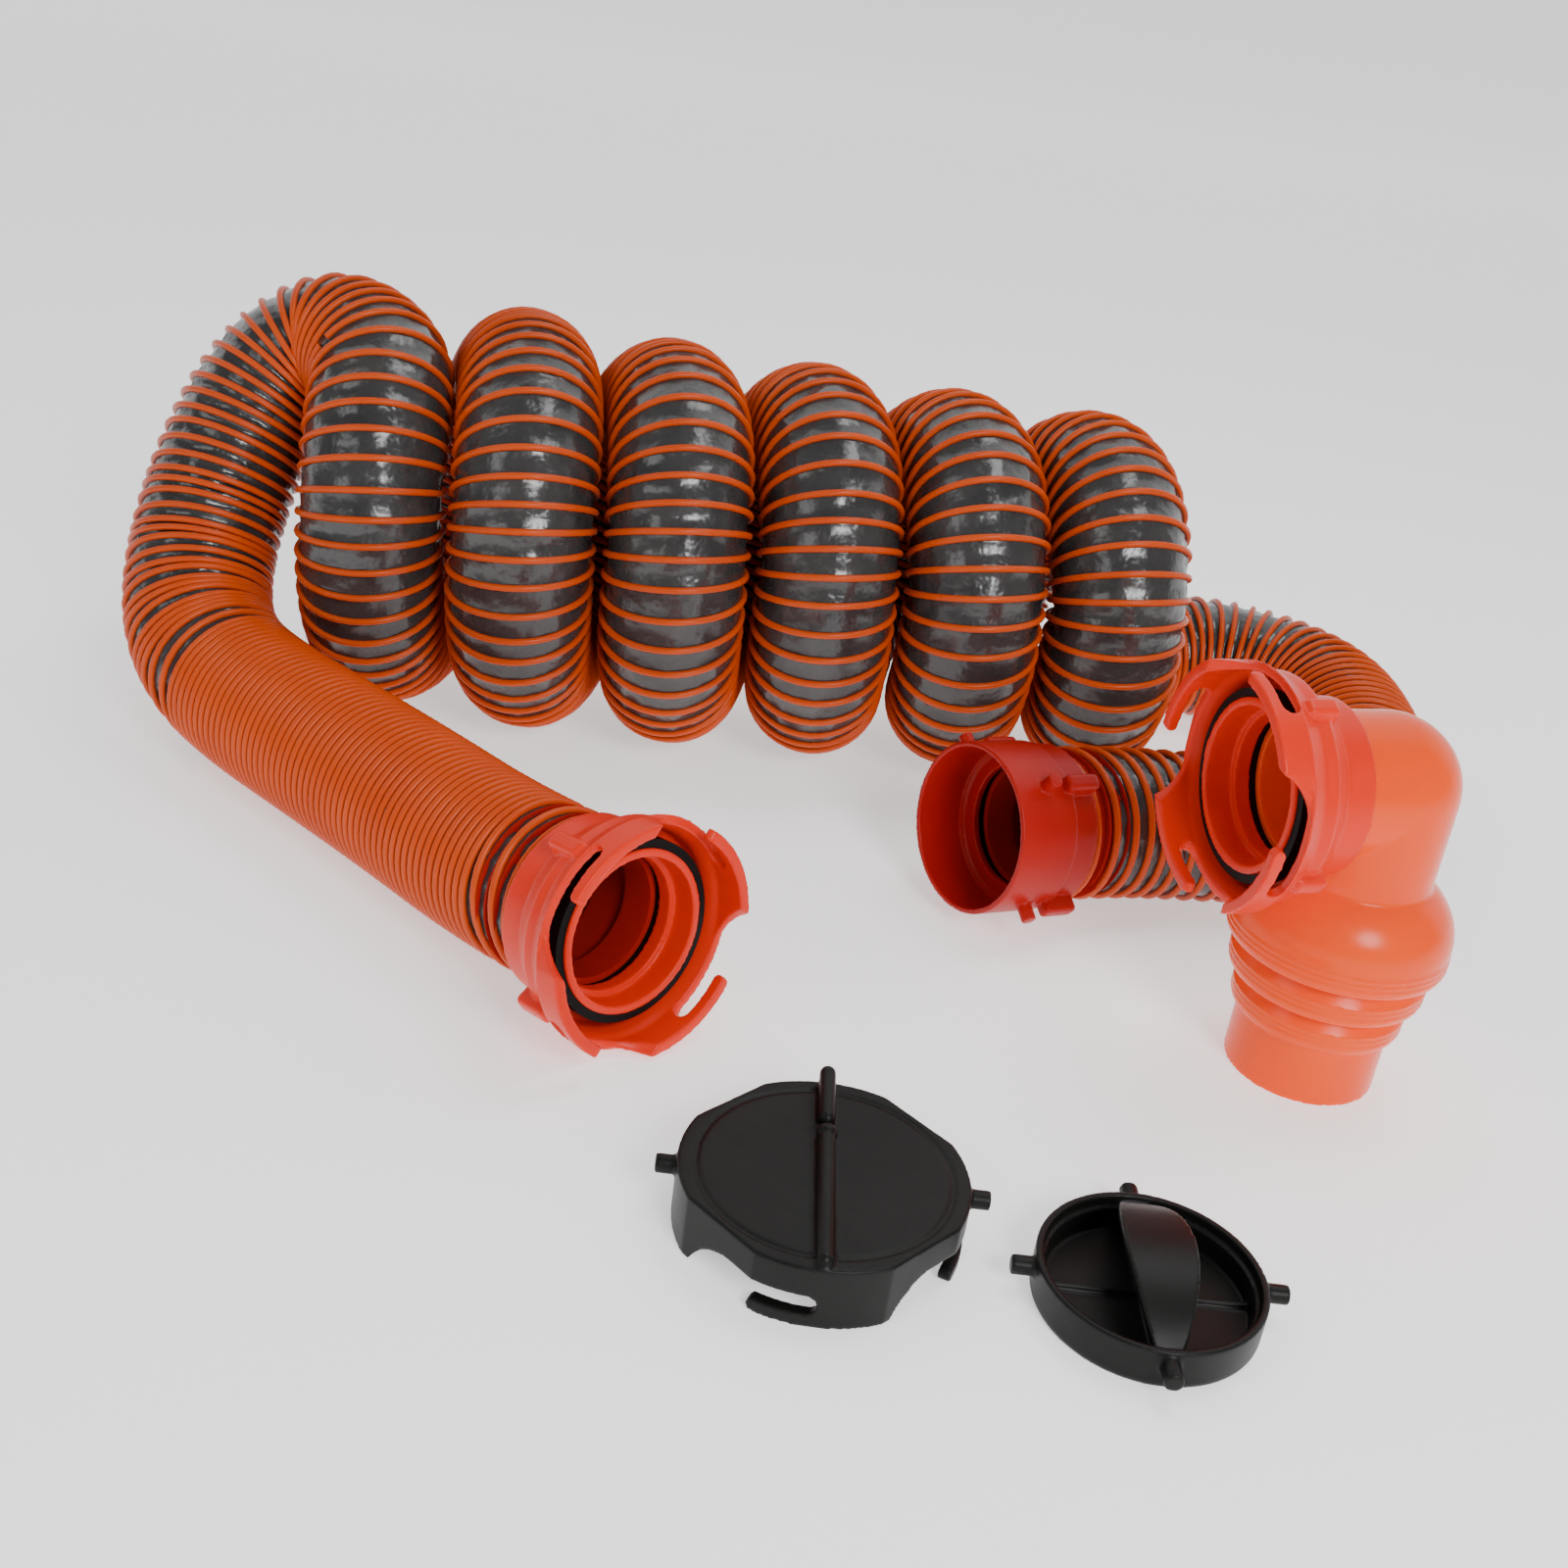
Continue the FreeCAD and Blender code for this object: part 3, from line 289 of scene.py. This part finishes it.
def wall_slack(first, second):
    """From LEAST_SLACK, pulled tight, to 1, folded up, for a band from one wire to the next."""
    width = np.linalg.norm(second - first, axis=1)
    return np.clip(1 - (width - 2 * WIRE_RADIUS) / SLACK_WIDTH, LEAST_SLACK, 1)


def hose_wall():
    """The vinyl wall: a ribbon that winds with the wire, sinks between its ribs and puckers."""
    turns = len(wire_distance) - SEGMENTS
    index = np.arange(turns)
    angle = math.tau * index / SEGMENTS
    first = hose_line.around(wire_distance[:turns], angle, np.full(turns, HOSE_RADIUS))
    second = hose_line.around(wire_distance[SEGMENTS:], angle, np.full(turns, HOSE_RADIUS))
    slack = wall_slack(first, second)
    rows = []
    for row in range(WALL_ROWS):
        share = row / WALL_ROWS
        distance = wire_distance[:turns] * (1 - share) + wire_distance[SEGMENTS:] * share
        hollow = math.sin(math.pi * share)
        pucker = np.array([
            noise.noise(Vector((math.cos(a) * PUCKERS_ROUND, math.sin(a) * PUCKERS_ROUND,
                                i / SEGMENTS * PUCKERS_ALONG + share)))
            for i, a in zip(index, angle)])
        depth = WALL_DEPTH + hollow * (HOLLOW_DEPTH + SLACK_DEPTH * slack
                                       + PUCKER_DEPTH * slack * pucker)
        rows.append(hose_line.around(distance, angle, HOSE_RADIUS - depth))
    grid = np.stack(rows, 1)
    vertices = grid.reshape(-1, 3)
    faces = []
    own = index[:-SEGMENTS - 1] * WALL_ROWS
    for row in range(WALL_ROWS):
        here = own + row
        ahead = here + WALL_ROWS
        if row + 1 < WALL_ROWS:
            over, over_ahead = here + 1, ahead + 1
        else:
            over = own + SEGMENTS * WALL_ROWS
            over_ahead = over + WALL_ROWS
        faces.append(np.stack([here, ahead, over_ahead, over], 1))
    return make_mesh("hose_wall", vertices, np.concatenate(faces))


def hose_wire(name, low, high):
    """The orange wire that winds round the wall, from one distance to another."""
    chosen = np.nonzero((wire_distance >= low) & (wire_distance <= high))[0]
    angle = math.tau * chosen / SEGMENTS
    centre = hose_line.around(wire_distance[chosen], angle,
                              np.full(len(chosen), HOSE_RADIUS - WIRE_RADIUS))
    points, _, _ = hose_line.at(wire_distance[chosen])
    outward = centre - points
    outward /= np.linalg.norm(outward, axis=1)[:, None]
    forward = np.gradient(centre, axis=0)
    forward /= np.linalg.norm(forward, axis=1)[:, None]
    sideways = np.cross(forward, outward)
    sideways /= np.linalg.norm(sideways, axis=1)[:, None]
    turn = math.tau * np.arange(WIRE_SIDES) / WIRE_SIDES
    ring = (outward[:, None] * np.cos(turn)[None, :, None]
            + sideways[:, None] * np.sin(turn)[None, :, None]) * WIRE_RADIUS
    vertices = (centre[:, None] + ring).reshape(-1, 3)
    own = np.arange(len(chosen) - 1)[:, None] * WIRE_SIDES
    side = np.arange(WIRE_SIDES)[None]
    after = (side + 1) % WIRE_SIDES
    faces = np.stack([own + side, own + after, own + WIRE_SIDES + after, own + WIRE_SIDES + side],
                     -1).reshape(-1, 4)
    return make_mesh(name, vertices, faces)


wall = hose_wall()
wires = [hose_wire("hose_wire_front", 0, FRONT_LENGTH),
         hose_wire("hose_wire_coil", FRONT_LENGTH, hose_line.length - BACK_LENGTH),
         hose_wire("hose_wire_back", hose_line.length - BACK_LENGTH, hose_line.length)]


# ---------------------------------------------------------------- materials
SUBSURFACE_RADIUS = (0.01, 0.003, 0.001)


def new_material(name, base, roughness, coat=0.0, coat_roughness=0.1, subsurface=0.0,
                 specular=0.5, metallic=0.0):
    material = bpy.data.materials.new(name)
    material.use_nodes = True
    shader = material.node_tree.nodes["Principled BSDF"]
    shader.inputs["Base Color"].default_value = (*base, 1)
    shader.inputs["Roughness"].default_value = roughness
    shader.inputs["Metallic"].default_value = metallic
    shader.inputs["Coat Weight"].default_value = coat
    shader.inputs["Coat Roughness"].default_value = coat_roughness
    shader.inputs["Specular IOR Level"].default_value = specular
    shader.inputs["Subsurface Weight"].default_value = subsurface
    shader.inputs["Subsurface Radius"].default_value = SUBSURFACE_RADIUS
    shader.inputs["Subsurface Scale"].default_value = 1.0
    return material, shader


def add_node(material, kind, **values):
    node = material.node_tree.nodes.new(kind)
    for key, value in values.items():
        node.inputs[key].default_value = value
    return node


def join(material, source, target):
    material.node_tree.links.new(source, target)


def texture_noise(material, scale, detail=3.0):
    place = add_node(material, "ShaderNodeTexCoord")
    texture = add_node(material, "ShaderNodeTexNoise", Scale=scale, Detail=detail)
    join(material, place.outputs["Object"], texture.inputs["Vector"])
    return texture.outputs["Fac"]


def vary_colour(material, shader, factor, dark, light):
    ramp = add_node(material, "ShaderNodeValToRGB")
    ramp.color_ramp.elements[0].position = 0.3
    ramp.color_ramp.elements[0].color = (*dark, 1)
    ramp.color_ramp.elements[1].position = 0.7
    ramp.color_ramp.elements[1].color = (*light, 1)
    join(material, factor, ramp.inputs["Fac"])
    join(material, ramp.outputs["Color"], shader.inputs["Base Color"])


def vary_roughness(material, shader, factor, low, high):
    spread = add_node(material, "ShaderNodeMapRange")
    spread.inputs["To Min"].default_value = low
    spread.inputs["To Max"].default_value = high
    join(material, factor, spread.inputs["Value"])
    join(material, spread.outputs["Result"], shader.inputs["Roughness"])


def add_bump(material, shader, factor, strength, distance):
    bump = add_node(material, "ShaderNodeBump", Strength=strength, Distance=distance)
    join(material, factor, bump.inputs["Height"])
    join(material, bump.outputs["Normal"], shader.inputs["Normal"])


def vinyl():
    material, shader = new_material("hose_vinyl", (0.10, 0.10, 0.10), 0.3, coat=0.35,
                                    coat_roughness=0.15)
    vary_colour(material, shader, texture_noise(material, 35), (0.026, 0.026, 0.027),
                (0.046, 0.045, 0.044))
    vary_roughness(material, shader, texture_noise(material, 90), 0.20, 0.32)
    add_bump(material, shader, texture_noise(material, 95, 2), 0.7, 0.0022)
    return material


COLOUR_PATCHES = 18      # scale of the noise that varies a moulding's colour
ROUGHNESS_PATCHES = 70   # and of the one that varies its roughness


def moulded(name, base, light, roughness, subsurface=0.12, grain=900, specular=0.2,
            metallic=0.0):
    material, shader = new_material(name, base, roughness, subsurface=subsurface,
                                    specular=specular, metallic=metallic)
    vary_colour(material, shader, texture_noise(material, COLOUR_PATCHES), base, light)
    vary_roughness(material, shader, texture_noise(material, ROUGHNESS_PATCHES),
                   roughness - 0.06, roughness + 0.07)
    add_bump(material, shader, texture_noise(material, grain, 2), 0.12, 0.0003)
    return material


MATERIALS = {
    "hose_vinyl": vinyl(),
    "hose_wire": moulded("hose_wire", (0.56, 0.058, 0.004), (0.64, 0.076, 0.007), 0.32, 0.03),
    "bayonet_orange": moulded("bayonet_orange", (0.74, 0.019, 0.003), (0.80, 0.027, 0.004), 0.34,
                              0.06),
    "lug_red": moulded("lug_red", (0.36, 0.006, 0.004), (0.42, 0.009, 0.005), 0.38, 0.05),
    "elbow_orange": moulded("elbow_orange", (0.93, 0.068, 0.002), (0.96, 0.082, 0.003), 0.24,
                            0.10),
    "cap_black": moulded("cap_black", (0.005, 0.005, 0.0046), (0.009, 0.009, 0.0084), 0.42, 0.0,
                         specular=0.18),
    "seal_rubber": moulded("seal_rubber", (0.002, 0.002, 0.002), (0.005, 0.005, 0.005), 0.6,
                           0.0, grain=500, specular=0.15),
    "nipple_plastic": moulded("nipple_plastic", (0.36, 0.010, 0.004), (0.42, 0.014, 0.006), 0.4),
    "clip_steel": moulded("clip_steel", (0.45, 0.45, 0.46), (0.55, 0.55, 0.56), 0.3, 0.0,
                          metallic=1.0),
}


def finish_piece(piece, slot):
    piece.data.materials.clear()
    piece.data.materials.append(MATERIALS[slot])


# the moulded pieces, with the voxel that each is rebuilt from, the smoothing passes that round its
# edges and the share of faces kept
MOULDED = {"bayonet_ring": (0.0008, 4, 0.8), "lug_ring": (0.0008, 4, 0.9),
           "elbow_body": (0.0009, 2, 0.5), "elbow_bayonet_ring": (0.0008, 4, 0.8),
           "cap_bayonet": (0.0008, 4, 0.8), "cap_lug": (0.0008, 4, 0.9)}


def soften_edges(name, voxel, passes, kept):
    """A copy of a CAD piece with its edges rounded as moulding leaves them, in its place."""
    source = nodes[name]
    piece = bpy.data.objects.new(f"{name}_moulded", source.data.copy())
    collection.objects.link(piece)
    piece.matrix_world = source.matrix_world
    remesh = piece.modifiers.new("remesh", "REMESH")
    remesh.mode = "VOXEL"
    remesh.voxel_size = voxel
    smooth = piece.modifiers.new("smooth", "SMOOTH")
    smooth.factor = 0.5
    smooth.iterations = passes
    decimate = piece.modifiers.new("decimate", "DECIMATE")
    decimate.ratio = kept
    bpy.context.view_layer.update()
    rounded = piece.evaluated_get(bpy.context.evaluated_depsgraph_get())
    mesh = bpy.data.meshes.new_from_object(rounded)
    piece.modifiers.clear()
    piece.data = mesh
    mesh.shade_smooth()
    print(f"{name}: {len(mesh.polygons)} faces")
    return piece


moulded_pieces = {}
for entry in frame["record"]["subparts"]:
    name, slot = entry["node"], entry["material_slot"]
    finish_piece(nodes[name], slot)
    if name in MOULDED:
        piece = moulded_pieces[name] = soften_edges(name, *MOULDED[name])
        finish_piece(piece, slot)
        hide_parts(name)
        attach(piece, next(body for body, members in frame["record"]["behaviour"]["bodies"].items()
                            if name in members))

finish_piece(wall, "hose_vinyl")
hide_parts("hose_coil", "hose_front_run", "hose_back_run")
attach(wall, "hose")
for wire in wires:
    finish_piece(wire, "hose_wire")
    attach(wire, "hose")


# ---------------------------------------------------------------- stage and light
FLOOR_GLOW = 0.75
WORLD_GLOW = 0.22
FLOOR_REACH = 40
SWEEP_START = 6        # where the floor starts to curve up into the backdrop
SWEEP_RADIUS = 4
SWEEP_STEPS = 24
BACKDROP_HEIGHT = 30


def make_floor():
    """A plain pale floor that sweeps up into a backdrop far behind."""
    material, shader = new_material("floor", (0.9, 0.9, 0.9), 0.9, specular=0.1)
    shader.inputs["Emission Color"].default_value = (1, 1, 1, 1)
    shader.inputs["Emission Strength"].default_value = FLOOR_GLOW
    profile = [(-FLOOR_REACH, 0.0)]
    for step in range(SWEEP_STEPS + 1):
        turn = math.pi / 2 * step / SWEEP_STEPS
        profile.append((SWEEP_START + SWEEP_RADIUS * math.sin(turn),
                        SWEEP_RADIUS * (1 - math.cos(turn))))
    profile.append((SWEEP_START + SWEEP_RADIUS, BACKDROP_HEIGHT))
    corners = [(x, y, z) for y, z in profile for x in (-FLOOR_REACH, FLOOR_REACH)]
    faces = [(2 * n, 2 * n + 1, 2 * n + 3, 2 * n + 2) for n in range(len(profile) - 1)]
    floor = make_mesh("floor", corners, faces)
    floor.data.materials.append(material)


def make_light(name, place, target, size, power):
    data = bpy.data.lights.new(name, "AREA")
    data.shape = "DISK"
    data.size = size
    data.energy = power
    light = bpy.data.objects.new(name, data)
    collection.objects.link(light)
    light.location = place
    light.rotation_euler = (Vector(target) - Vector(place)).to_track_quat("-Z", "Y").to_euler()


def make_world():
    world = bpy.data.worlds.new("world")
    world.use_nodes = True
    background = world.node_tree.nodes["Background"]
    background.inputs["Color"].default_value = (1, 1, 1, 1)
    background.inputs["Strength"].default_value = WORLD_GLOW
    bpy.context.scene.world = world


make_floor()
make_world()
# each light's name, its place, the point it is turned to, its width in metres and its watts
for light in [("key", (0.65, -1.4, 1.15), (0, 0.15, 0.12), 0.7, 26),
              ("top", (0.5, 0.4, 1.9), (0, 0.2, 0.1), 0.8, 9),
              ("fill", (-1.4, -0.9, 1.2), (0, 0.2, 0.1), 0.9, 5)]:
    make_light(*light)
